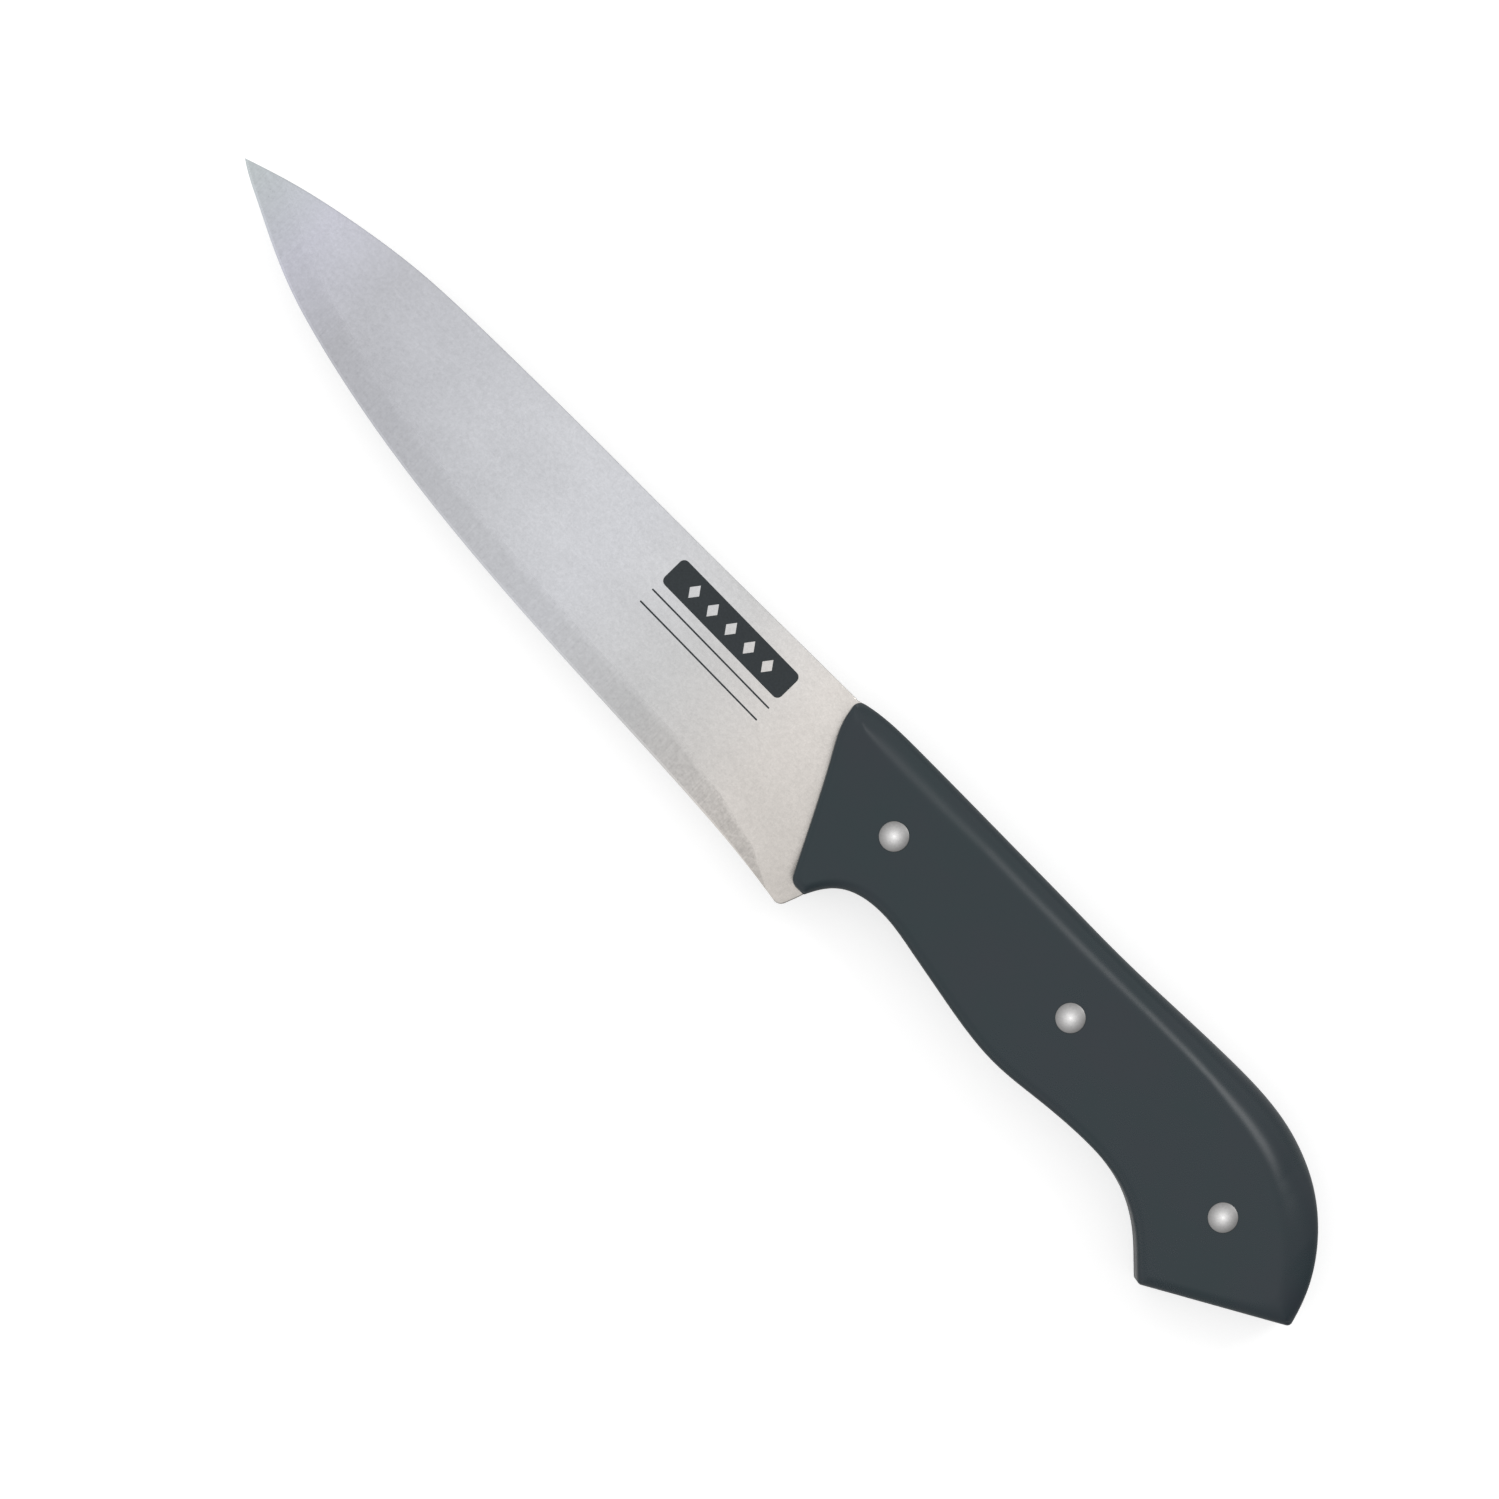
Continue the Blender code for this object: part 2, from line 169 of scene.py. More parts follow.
# How deep the spine side's round may go: x, and the depth there
ROUND_DEEP_X = (8.0, 15.0, 25.0, 35.0, 45.0, 65.0, 75.0, 85.0, 92.0, 113.0, 124.0, 131.0)
ROUND_DEEP = (4.0, 4.5, 4.7, 4.7, 4.9, 4.9, 5.4, 6.1, 7.0, 7.0, 3.4, 2.4)
# How widely the rounds of two runs blend where they meet
ROUND_BLEND = 0.25
# How many loops shape the rounds, and how far in the last one lies
ROUND_RINGS = 28
WIDEST_ROUND = 9.2
# Where a scale's inner face is, just clear of the steel
SCALE_SLACK = 0.03
SCALE_INNER = STEEL_HALF + SCALE_SLACK

# The rivets: their centres, heads and shanks, the slack round them, and how finely they are turned
RIVETS = ((21.65, 12.58), (66.24, 13.45), (110.07, 19.55))
HEAD_DEPTH = 2.0
PIN_RADIUS = 1.0
BORE_RADIUS = 1.05
SLEEVE_RADIUS = 1.9
SEAT_SLACK = 0.02
SEAT = FACE - HEAD_DEPTH
RIM_ROUND = 0.08
RIM_STEPS = 5
DOME_RINGS = 18
TURN_STEPS = 96

# The generic mark: a dark band of five diamonds over two fine rules
MARK_CENTRE = (-24.6, 6.75)
MARK_HALF = (14.8, 2.95)
MARK_CORNER = 1.1
MARK_TILT = math.radians(1.0)
DIAMONDS = 5
DIAMOND_STEP = 4.6
DIAMOND_HALF = (1.15, 1.55)
RULES_DOWN = (5.0, 8.0)
RULE_HALF = 0.16
RULE_CORNER = 0.9 * RULE_HALF
CORNER_STEPS = 10

# How finely the outlines are cut into straight pieces, and a coarser cut for measuring from
RUN_STEPS = 150
ARC_STEPS = 48
SAG = 0.002
LONGEST = 0.7
COARSE_SAG = 0.02
COARSE_LONGEST = 3.0
# Points this near to each other are one, and a width is never smaller than TINY
WELD = 0.01
TINY = 0.00001
# How far a line at an inset may miss it, how near to its neighbour or the edge a point may lie,
# and how far a line across the ground band runs out past the tip
INSET_SLACK = 0.01
BREAK_SLACK = 0.001
NEAREST = 0.08
OVERRUN = 0.5
# How many points are measured at once
BATCH = 400
# How far a hole's cutter runs out past the face, and the angle at which an edge is shaded sharp
CUTTER_OVERRUN = 1.0
SHARP_ANGLE = math.radians(32)

# The steel's tone along the blade, partly painted light: x, and its colour there
# The colour is the steel's own, but its change along the blade is painted light: darker and cooler
# towards the tip, lighter and warmer towards the heel
STEEL_X = (-144.0, -126.0, -110.0, -92.0, -70.0, -50.0, -27.0, -4.0, 14.0)
STEEL_TONES_AND_LIGHT = (
    (0.492, 0.531, 0.541),
    (0.543, 0.546, 0.611),
    (0.488, 0.492, 0.525),
    (0.519, 0.525, 0.556),
    (0.570, 0.577, 0.604),
    (0.605, 0.612, 0.640),
    (0.581, 0.580, 0.582),
    (0.657, 0.625, 0.595),
    (0.608, 0.573, 0.538),
)
# It grows lighter from the edge to the spine: y in metres, and the share of the tone there
STEEL_Y = (-0.014, 0.016)
STEEL_Y_SHARE = (0.93, 1.045)
# The ground band is darker and more mottled towards the heel: x, and how much at either end
STAIN_X = (-40.0, -6.0)
STAIN = (-0.022, 0.065)
PATCHY_X = (-25.0, -6.0)
PATCHY = (0.24, 0.42)
# The honed line's scratches are lifted this much towards bright
HONED_LIFT = 0.6
# Darkest and lightest tones of the mark, the moulding and the rivets; the rivets' span carries their
# painted shade
MARK_TONES = ((0.016, 0.022, 0.026), (0.030, 0.038, 0.043))
MOULDING_TONES = ((0.0138, 0.0292, 0.0348), (0.0194, 0.0276, 0.0362))
RIVET_SHADE_TONES = ((0.0, 0.0, 0.0), (1.0, 0.99, 0.985))
# The front of the handle, where a hand grips it, is rubbed duller: x, and the added roughness
RUBBED_X = (10.0, 65.0)
RUBBED = (0.08, 0.0)
# A rivet head's turning marks in cycles per millimetre, and how much of the middle's brightness
# the painted shading of its dome keeps at the rim
TURNING_MARKS = 3.0
PAINTED_RIM_SHARE = 0.27
# The ranges that hold most of a noise's values and nearly all of them
MOST = (0.35, 0.65)
NEARLY_ALL = (0.3, 0.7)
UNIT = (0.0, 1.0)

# The floor's half width in metres, its tone, and the glow that only the camera sees
FLOOR_HALF = 3.0
FLOOR_TONE = 0.6
FLOOR_GLOW = 0.62
# The studio's ceiling: brightest overhead and dimmer towards the horizon
SKY_HEIGHT = (0.0, 0.5, 0.71, 0.94, 0.985)
SKY_LEVEL = (0.95, 0.88, 0.82, 0.87, 1.0)
SKY_STRENGTH = 1.05
# The studio dims beyond the butt: between which x of a direction, and the share that it keeps
DIM_X = (0.15, 0.85)
DIM_KEEPS = 0.36
# The softbox beyond the spine: its place, aim and size in metres, and its radiance
SOFTBOX_PLACE = (0.345, 0.98, 1.22)
SOFTBOX_AIM = (0.11, 0.0, 0.0)
SOFTBOX_SIZE = (0.40, 0.42)
SOFTBOX_RADIANCE = 5.2
# The camera: its turn, the (x, depth) under it, how wide it sees there, its lens and sensor, and
# its clipping in metres
CAMERA_TURN = math.radians(44.7)
AIM = (-7.24, 19.6)
VIEW_WIDTH = 265.6
LENS = 200.0
SENSOR = 36.0
CLIP = (0.05, 20.0)


# ---- curves and outlines

def heading(degrees):
    angle = math.radians(degrees)
    return np.array([math.cos(angle), math.sin(angle)])


def run(knots, headings):
    """A smooth curve through the knots that leaves and arrives along the two headings."""
    p = np.array(knots, float)
    span = np.linalg.norm(np.diff(p, axis=0), axis=1)
    count = len(p)
    matrix = np.eye(count)
    slopes = np.zeros((count, 2))
    slopes[0] = heading(headings[0])
    slopes[-1] = heading(headings[1])
    for i in range(1, count - 1):
        before, after = span[i - 1], span[i]
        matrix[i, i - 1 : i + 2] = 1 / before, 2 / before + 2 / after, 1 / after
        slopes[i] = 3 * ((p[i] - p[i - 1]) / before**2 + (p[i + 1] - p[i]) / after**2)
    slopes = np.linalg.solve(matrix, slopes)
    pieces = []
    for i in range(count - 1):
        s = np.linspace(0.0, 1.0, RUN_STEPS, endpoint=False)[:, None]
        pieces.append(
            (2 * s**3 - 3 * s**2 + 1) * p[i]
            + (s**3 - 2 * s**2 + s) * span[i] * slopes[i]
            + (3 * s**2 - 2 * s**3) * p[i + 1]
            + (s**3 - s**2) * span[i] * slopes[i + 1]
        )
    return np.concatenate(pieces + [p[-1:]])


def left_normals(points, closed=False):
    """Unit normals to the left of the direction of travel."""
    if closed:
        along = np.roll(points, -1, axis=0) - np.roll(points, 1, axis=0)
    else:
        along = np.gradient(points, axis=0)
    along = along / np.linalg.norm(along, axis=1)[:, None]
    return np.stack([-along[:, 1], along[:, 0]], axis=1)


def round_corner(first, second, radius):
    """Cut back two runs that meet at a corner and join them with an arc tangent to both."""
    a, b = first[-1] - first[-2], second[1] - second[0]
    side = math.copysign(radius, a[0] * b[1] - a[1] * b[0])
    first_in = first + side * left_normals(first)
    second_in = second + side * left_normals(second)
    apart = np.linalg.norm(first_in[:, None] - second_in[None], axis=2)
    i, j = np.unravel_index(apart.argmin(), apart.shape)
    centre = (first_in[i] + second_in[j]) / 2
    start, end = first[i] - centre, second[j] - centre
    from_angle = math.atan2(start[1], start[0])
    turn = math.atan2(end[1], end[0]) - from_angle
    turn -= 2 * math.pi * round(turn / (2 * math.pi))
    arc = []
    for s in np.linspace(0.0, 1.0, ARC_STEPS + 1):
        reach = (1 - s) * np.linalg.norm(start) + s * np.linalg.norm(end)
        angle = from_angle + s * turn
        arc.append(centre + reach * np.array([math.cos(angle), math.sin(angle)]))
    return first[:i], np.array(arc), second[j + 1 :]


def thin(points, sag=SAG, longest=LONGEST):
    """Drop the points that a straight chord can stand in for."""
    kept = [0]
    while kept[-1] < len(points) - 1:
        start = kept[-1]
        best = start + 1
        for end in range(start + 2, len(points)):
            chord = points[end] - points[start]
            length = np.linalg.norm(chord)
            away = points[start + 1 : end] - points[start]
            off = np.abs(away[:, 0] * chord[1] - away[:, 1] * chord[0]).max() / length
            if off > sag or length > longest:
                break
            best = end
        kept.append(best)
    return points[kept]


def distance(points, line):
    """Each point's distance to an open line, and the nearest place on it."""
    start, chord = line[:-1], np.diff(line, axis=0)
    squares = (chord**2).sum(1)
    apart, nearest = [], []
    for first in range(0, len(points), BATCH):
        some = points[first : first + BATCH]
        away = some[:, None] - start[None]
        s = np.clip((away * chord).sum(2) / squares, 0.0, 1.0)
        near = start[None] + s[..., None] * chord[None]
        gaps = np.linalg.norm(some[:, None] - near, axis=2)
        best = gaps.argmin(1)
        rows = np.arange(len(some))
        apart.append(gaps[rows, best])
        nearest.append(near[rows, best])
    return np.concatenate(apart), np.concatenate(nearest)


def inside(points, loop):
    """Which of the points lie inside a closed loop."""
    x0, y0 = loop[:, 0], loop[:, 1]
    x1, y1 = np.roll(x0, -1), np.roll(y0, -1)
    rise = np.where(y1 == y0, 1.0, y1 - y0)
    found = []
    for first in range(0, len(points), BATCH):
        x = points[first : first + BATCH, 0][:, None]
        y = points[first : first + BATCH, 1][:, None]
        spans = (y0 > y) != (y1 > y)
        crossing = spans & (x < x0 + (y - y0) * (x1 - x0) / rise)
        found.append(crossing.sum(1) % 2 == 1)
    return np.concatenate(found)


def circle(centre, radius):
    turns = np.linspace(0.0, 2 * math.pi, TURN_STEPS, endpoint=False)
    return np.array(centre) + radius * np.stack([np.cos(turns), np.sin(turns)], axis=1)


def centred(points):
    """From (x, depth) to the frame's x and y, in millimetres."""
    return np.stack([points[:, 0] - ORIGIN[0], ORIGIN[1] - points[:, 1]], axis=1)


# ---- meshes

def plan(outline, holes, lines):
    """Triangles that fill the outline, leave the holes open and follow the lines.

    Each line is a pair: its points, and whether it closes."""
    coords, edges = [], []
    for points, closed in [(outline, True)] + [(hole, True) for hole in holes] + lines:
        base = len(coords)
        coords += [tuple(p) for p in points.tolist()]
        edges += [(base + i, base + i + 1) for i in range(len(points) - 1)]
        if closed:
            edges.append((base + len(points) - 1, base))
    result = delaunay_2d_cdt(coords, edges, [], 0, WELD, False)
    points = np.array([tuple(v) for v in result[0]])
    faces = np.array([tuple(f) for f in result[2]])
    middles = points[faces].mean(axis=1)
    keep = inside(middles, outline)
    for hole in holes:
        keep &= ~inside(middles, hole)
    return points, faces[keep]


def new_piece(name, vertices, faces, materials, indices=None, attributes=()):
    """A mesh object from vertices in millimetres, with its normals outwards."""
    mesh = bpy.data.meshes.new(name)
    mesh.from_pydata([tuple(c * MM for c in v) for v in vertices], [], faces)
    for material in materials:
        mesh.materials.append(material)
    if indices is not None:
        mesh.polygons.foreach_set("material_index", indices)
    for label, values in attributes:
        mesh.attributes.new(label, "FLOAT", "POINT").data.foreach_set("value", values)
    body = bmesh.new()
    body.from_mesh(mesh)
    bmesh.ops.delete(body, geom=[v for v in body.verts if not v.link_faces], context="VERTS")
    bmesh.ops.recalc_face_normals(body, faces=body.faces)
    body.to_mesh(mesh)
    body.free()
    piece = bpy.data.objects.new(name, mesh)
    bpy.context.scene.collection.objects.link(piece)
    return piece


def shade(piece):
    piece.data.shade_smooth()
    piece.data.set_sharp_from_angle(angle=SHARP_ANGLE)


def solid(name, points, faces, top, bottom, materials, top_index=None, low_index=None, extra=()):
    """A closed solid between two heights over a plan, with walls where the heights differ."""
    count = len(points)
    shared = top - bottom < WELD
    place = centred(points)
    vertices = [(x, y, z) for (x, y), z in zip(place, top)]
    vertices += [(x, y, z) for (x, y), z in zip(place, bottom)]
    under = np.where(shared, np.arange(count), np.arange(count) + count)
    polygons = [tuple(f) for f in faces.tolist()]
    polygons += [tuple(int(under[v]) for v in reversed(f)) for f in faces.tolist()]
    none = [0] * len(faces)
    indices = list(none if top_index is None else top_index)
    indices += list(none if low_index is None else low_index)
    seen = {}
    for f in faces.tolist():
        for a, b in zip(f, f[1:] + f[:1]):
            seen.setdefault((min(a, b), max(a, b)), []).append((a, b))
    for uses in seen.values():
        if len(uses) == 1:
            a, b = uses[0]
            wall = tuple(dict.fromkeys((b, a, int(under[a]), int(under[b]))))
            if len(wall) > 2:
                polygons.append(wall)
                indices.append(0)
    attributes = [(label, np.concatenate([values, values])) for label, values in extra]
    return new_piece(name, vertices, polygons, materials, indices, attributes)


def turned(name, centre, profile, material):
    """A solid turned about a vertical axis from a profile of (radius, height)."""
    vertices, rings = [], []
    for radius, height in profile:
        turns = TURN_STEPS if radius > 0 else 1
        rings.append(range(len(vertices), len(vertices) + turns))
        for i in range(turns):
            angle = 2 * math.pi * i / TURN_STEPS
            vertices.append((radius * math.cos(angle), radius * math.sin(angle), height))
    polygons = []
    for first, second in zip(rings, rings[1:]):
        for i in range(TURN_STEPS):
            a, b = first[i % len(first)], first[(i + 1) % len(first)]
            c, d = second[(i + 1) % len(second)], second[i % len(second)]
            polygons.append(tuple(dict.fromkeys((a, b, c, d))))
    piece = new_piece(name, vertices, polygons, [material])
    x, y = centred(np.array([centre]))[0]
    piece.location = (x * MM, y * MM, MID * MM)
    return piece


# ---- materials

def new_material(name):
    material = bpy.data.materials.new(name)
    material.use_nodes = True
    return material, material.node_tree, material.node_tree.nodes["Principled BSDF"]


def node(tree, kind, settings=(), **inputs):
    """A new node with its settings and inputs filled in. An input is named, or numbered as _0, and
    may be another node's output."""
    made = tree.nodes.new(kind)
    for key, value in dict(settings).items():
        setattr(made, key, value)
    for key, value in inputs.items():
        socket = made.inputs[int(key[1:]) if key[0] == "_" else key.replace("_", " ")]
        if isinstance(value, bpy.types.NodeSocket):
            tree.links.new(value, socket)
        else:
            socket.default_value = value
    return made


def object_place(tree):
    return node(tree, "ShaderNodeTexCoord").outputs["Object"]


def noise(tree, cycles, detail=3.0, roughness=0.55, turn=(0.0, 0.0, 0.0)):
    """A noise of so many cycles per millimetre along each axis."""
    scale = tuple(count / MM for count in cycles)
    place = node(tree, "ShaderNodeMapping", Vector=object_place(tree), Scale=scale, Rotation=turn)
    made = node(
        tree,
        "ShaderNodeTexNoise",
        Vector=place.outputs[0],
        Scale=1.0,
        Detail=detail,
        Roughness=roughness,
    )
    return made.outputs["Fac"]


def remap(tree, value, source, target, clamp=True):
    """The value carried over from the source range to the target range."""
    made = node(
        tree,
        "ShaderNodeMapRange",
        {"clamp": clamp},
        Value=value,
        From_Min=source[0],
        From_Max=source[1],
        To_Min=target[0],
        To_Max=target[1],
    )
    return made.outputs[0]


def maths(tree, operation, first, second):
    return node(tree, "ShaderNodeMath", {"operation": operation}, _0=first, _1=second).outputs[0]


def layered(tree, *layers):
    """The sum of (noise, weight) layers, spread out so that most of it lies between 0 and 1."""
    weighed = [maths(tree, "MULTIPLY", layer, weight) for layer, weight in layers]
    total = weighed[0]
    for layer in weighed[1:]:
        total = maths(tree, "ADD", total, layer)
    return remap(tree, total, MOST, UNIT, clamp=False)


def tinted(tree, factor, tones):
    """A colour between two tones."""
    dark, light = ((*tone, 1.0) for tone in tones)
    return node(tree, "ShaderNodeMix", {"data_type": "RGBA"}, _0=factor, _6=dark, _7=light).outputs[2]


def surface(tree, shader, colour, roughness, metallic=0.0, specular=0.5):
    tree.links.new(colour, shader.inputs["Base Color"])
    tree.links.new(roughness, shader.inputs["Roughness"])
    shader.inputs["Metallic"].default_value = metallic
    shader.inputs["Specular IOR Level"].default_value = specular


def bump(tree, shader, height, strength, depth):
    made = node(tree, "ShaderNodeBump", Height=height, Strength=strength, Distance=depth * MM)
    tree.links.new(made.outputs[0], shader.inputs["Normal"])


def along_knife(tree):
    """The x along the knife, in millimetres from the front of the handle."""
    from_origin = node(tree, "ShaderNodeSeparateXYZ", _0=object_place(tree)).outputs["X"]
    return remap(tree, from_origin, (0.0, MM), (ORIGIN[0], ORIGIN[0] + 1.0), clamp=False)


def steel_colour(tree, speckle, spread):
    """The steel's colour with painted light along the blade, made lighter and darker by a speckle
    about 0.5.
    """
    ramp = tree.nodes.new("ShaderNodeValToRGB")
    along = remap(tree, along_knife(tree), (STEEL_X[0], STEEL_X[-1]), UNIT)
    tree.links.new(along, ramp.inputs[0])
    stops = ramp.color_ramp.elements
    shares = [(x - STEEL_X[0]) / (STEEL_X[-1] - STEEL_X[0]) for x in STEEL_X]
    for share in shares[1:-1]:
        stops.new(share)
    for stop, share, tone in zip(stops, shares, STEEL_TONES_AND_LIGHT):
        stop.position = share
        stop.color = (*tone, 1.0)
    y = node(tree, "ShaderNodeSeparateXYZ", _0=object_place(tree)).outputs["Y"]
    speckled = remap(tree, speckle, UNIT, (1.0 - spread, 1.0 + spread), clamp=False)
    level = maths(tree, "MULTIPLY", speckled, remap(tree, y, STEEL_Y, STEEL_Y_SHARE))
    scaled = {"operation": "SCALE"}
    return node(tree, "ShaderNodeVectorMath", scaled, _0=ramp.outputs[0], Scale=level).outputs[0]


def satin_steel():
    material, tree, shader = new_material("satin_steel")
    grain = noise(tree, (0.06, 3.0, 3.0), detail=4.0, roughness=0.6)
    mottle = noise(tree, (1.5, 1.5, 1.5), detail=5.0, roughness=0.85)
    cloud = noise(tree, (0.05, 0.09, 0.09))
    tone = layered(tree, (grain, 0.09), (mottle, 0.66), (cloud, 0.25))
    rough = remap(tree, tone, UNIT, (0.23, 0.18))
    surface(tree, shader, steel_colour(tree, tone, spread=0.115), rough, metallic=1.0)
    bump(tree, shader, grain, strength=0.15, depth=0.003)
    return material


def ground_steel():
    """The steel of the ground band, darker and more mottled where the band runs out."""
    material, tree, shader = new_material("ground_band")
    lines = noise(tree, (4.0, 0.12, 0.12), turn=(0.0, 0.0, 0.05))
    mottle = noise(tree, (1.3, 1.3, 1.3), detail=5.0, roughness=0.8)
    x = along_knife(tree)
    band = node(tree, "ShaderNodeAttribute", {"attribute_name": "band"}).outputs["Fac"]
    before_flat = remap(tree, band, (BAND_CREST, BAND_ACROSS[-1]), (1.0, 0.0))
    stain = maths(tree, "MULTIPLY", remap(tree, x, STAIN_X, STAIN), before_flat)
    tone = layered(tree, (lines, 0.25), (mottle, 0.75))
    tone = maths(tree, "SUBTRACT", tone, 0.5)
    tone = maths(tree, "MULTIPLY", tone, remap(tree, x, PATCHY_X, PATCHY))
    tone = maths(tree, "SUBTRACT", tone, stain)
    tone = maths(tree, "ADD", tone, 0.5)
    rough = remap(tree, mottle, NEARLY_ALL, (0.26, 0.36))
    surface(tree, shader, steel_colour(tree, tone, spread=0.5), rough, metallic=1.0)
    bump(tree, shader, lines, strength=0.25, depth=0.003)
    return material


def honed_steel():
    material, tree, shader = new_material("honed_edge")
    lines = noise(tree, (7.0, 0.3, 0.3))
    tone = maths(tree, "ADD", lines, HONED_LIFT)
    rough = remap(tree, lines, NEARLY_ALL, (0.22, 0.32))
    surface(tree, shader, steel_colour(tree, tone, spread=0.15), rough, metallic=1.0)
    bump(tree, shader, lines, strength=0.2, depth=0.003)
    return material


def etched_mark():
    material, tree, shader = new_material("etched_mark")
    speck = noise(tree, (2.5, 2.5, 2.5), detail=4.0, roughness=0.7)
    colour = tinted(tree, remap(tree, speck, NEARLY_ALL, UNIT), MARK_TONES)
    surface(tree, shader, colour, remap(tree, speck, NEARLY_ALL, (0.45, 0.6)), specular=0.35)
    bump(tree, shader, speck, strength=0.2, depth=0.004)
    return material


def dark_moulding():
    material, tree, shader = new_material("dark_moulding")
    pebble = noise(tree, (5.0, 5.0, 5.0), roughness=0.5)
    patch = noise(tree, (0.06, 0.09, 0.09), roughness=0.6)
    tone = layered(tree, (pebble, 0.35), (patch, 0.65))
    rubbed = remap(tree, along_knife(tree), RUBBED_X, RUBBED)
    rough = maths(tree, "ADD", remap(tree, tone, UNIT, (0.26, 0.29)), rubbed)
    surface(tree, shader, tinted(tree, tone, MOULDING_TONES), rough, specular=0.4)
    bump(tree, shader, pebble, strength=0.12, depth=0.006)
    return material


def bright_rivet():
    """Polished metal with faint turning marks, rougher towards the head's rim, where painted shade
    darkens it.
    """
    material, tree, shader = new_material("bright_rivet")
    place = object_place(tree)
    marks = node(
        tree,
        "ShaderNodeTexWave",
        {"wave_type": "RINGS", "rings_direction": "Z"},
        Vector=place,
        Scale=TURNING_MARKS / MM,
        Distortion=0.6,
        Detail=2.0,
    ).outputs["Fac"]
    flat = node(tree, "ShaderNodeMapping", Vector=place, Scale=(1 / MM, 1 / MM, 0.0)).outputs[0]
    out = node(tree, "ShaderNodeVectorMath", {"operation": "LENGTH"}, _0=flat).outputs["Value"]
    # Painted shade: the head darkens from its bright middle to its rim, as a dome's shading would
    painted_rim_shade = maths(tree, "POWER", PAINTED_RIM_SHARE, maths(tree, "MULTIPLY", out, 1 / HEAD_RADIUS))
    flecks = remap(tree, noise(tree, (3.0, 3.0, 3.0)), NEARLY_ALL, (0.94, 1.06), clamp=False)
    colour = tinted(tree, maths(tree, "MULTIPLY", painted_rim_shade, flecks), RIVET_SHADE_TONES)
    surface(tree, shader, colour, remap(tree, painted_rim_shade, (0.2, 1.0), (0.34, 0.22)), metallic=1.0)
    bump(tree, shader, marks, strength=0.08, depth=0.002)
    return material


# ---- the outlines of the steel and of a scale

spine = np.concatenate([run(SPINE_KNOTS, SPINE_HEADINGS), np.array([TOP_KNOTS[0]])])
edge = run(EDGE_KNOTS, EDGE_HEADINGS)
heel = run(HEEL_KNOTS, HEEL_HEADINGS)[::-1]
top_run = run(TOP_KNOTS, TOP_HEADINGS)
butt_run = run(BUTT_KNOTS, BUTT_HEADINGS)
under_run = run(UNDER_KNOTS, UNDER_HEADINGS)
toe_run = run(TOE_KNOTS, TOE_HEADINGS)
front_run = run(FRONT_KNOTS, FRONT_HEADINGS)

# The x and depth that the frame's origin stands for
ORIGIN = np.array([SPINE_KNOTS[0][0] - blade_low.x, top_run[:, 1].min() + blade_high.y])

edge_cut, heel_arc, heel_cut = round_corner(edge, heel, HEEL_RADIUS)
top_cut, far_arc, butt_cut = round_corner(top_run, butt_run, BUTT_TOP_RADIUS)
butt_cut, hook_arc, under_cut = round_corner(butt_cut, under_run, BUTT_TOE_RADIUS)
back_of_handle = np.concatenate([top_cut, far_arc, butt_cut, hook_arc])

edge_line = thin(edge_cut)
blunt_line = np.concatenate(
    [
        thin(np.concatenate([spine, back_of_handle[1:], under_cut]))[:-1],
        thin(np.concatenate([heel_cut[::-1], heel_arc[::-1]]))[:-1],
    ]
)
steel_loop = np.concatenate([blunt_line, edge_line[:0:-1]])

under_end, toe_arc, toe_cut = round_corner(under_cut, toe_run, UNDER_TOE_RADIUS)
toe_cut, nose_arc, front_cut = round_corner(toe_cut, front_run, FRONT_TOE_RADIUS)
front_cut, brow_arc, top_start = round_corner(front_cut, top_run, FRONT_TOP_RADIUS)
shortened = len(top_run) - len(top_start)
scale_loop = thin(
    np.concatenate(
        [
            brow_arc,
            back_of_handle[shortened:],
            under_end,
            toe_arc,
            toe_cut,
            nose_arc,
            front_cut,
        ]
    )
)

steel = satin_steel()
ground = ground_steel()
honed = honed_steel()
mark = etched_mark()
moulding = dark_moulding()
bright = bright_rivet()


# ---- the mark

def on_mark(points):
    """From places about the mark's centre to (x, depth)."""
    c, s = math.cos(MARK_TILT), math.sin(MARK_TILT)
    points = np.asarray(points, float)
    x, y = points[:, 0], points[:, 1]
    return np.array(MARK_CENTRE) + np.stack([c * x - s * y, s * x + c * y], axis=1)


def rounded_box(half_x, half_y, radius):
    """A box with round corners about (0, 0)."""
    corners = []
    for quarter, (sx, sy) in enumerate(((1, 1), (-1, 1), (-1, -1), (1, -1))):
        for step in range(CORNER_STEPS + 1):
            angle = math.pi / 2 * (quarter + step / CORNER_STEPS)
            x = sx * (half_x - radius) + radius * math.cos(angle)
            y = sy * (half_y - radius) + radius * math.sin(angle)
            corners.append((x, y))
    return np.array(corners)


def mark_loops():
    """The loops of the mark's band, of its diamonds and of the rules under it."""
    band = on_mark(rounded_box(*MARK_HALF, MARK_CORNER))
    diamonds = []
    for number in range(DIAMONDS):
        x = (number - (DIAMONDS - 1) / 2) * DIAMOND_STEP
        dx, dy = DIAMOND_HALF
        diamonds.append(on_mark([(x + dx, 0), (x, dy), (x - dx, 0), (x, -dy)]))
    rule = rounded_box(MARK_HALF[0], RULE_HALF, RULE_CORNER)
    rules = [on_mark(rule + np.array([0.0, down])) for down in RULES_DOWN]
    return band, diamonds, rules


# ---- the blade and its tang

def band_lines():
    """Lines along the cutting edge at each place across the ground band."""
    width = BAND_WIDTH * (1 - np.interp(edge_line[:, 0], RUN_OUT_X, RUN_OUT_SHARE))
    into_steel = -left_normals(edge_line)
    lines = []
    for across in BAND_ACROSS[1:]:
        inset = across * width
        line = edge_line + inset[:, None] * into_steel
        clear = distance(line, edge_line)[0] > inset - INSET_SLACK
        within = inside(line, steel_loop) & clear & (inset > NEAREST)
        first = int(within.argmax())
        last = len(within) - int(within[::-1].argmax())
        line = line[first:last]
        back = line[0] - line[1]
        past_tip = line[0] + OVERRUN * back / np.linalg.norm(back)
        lines.append(np.concatenate([[past_tip], line]))
    return lines


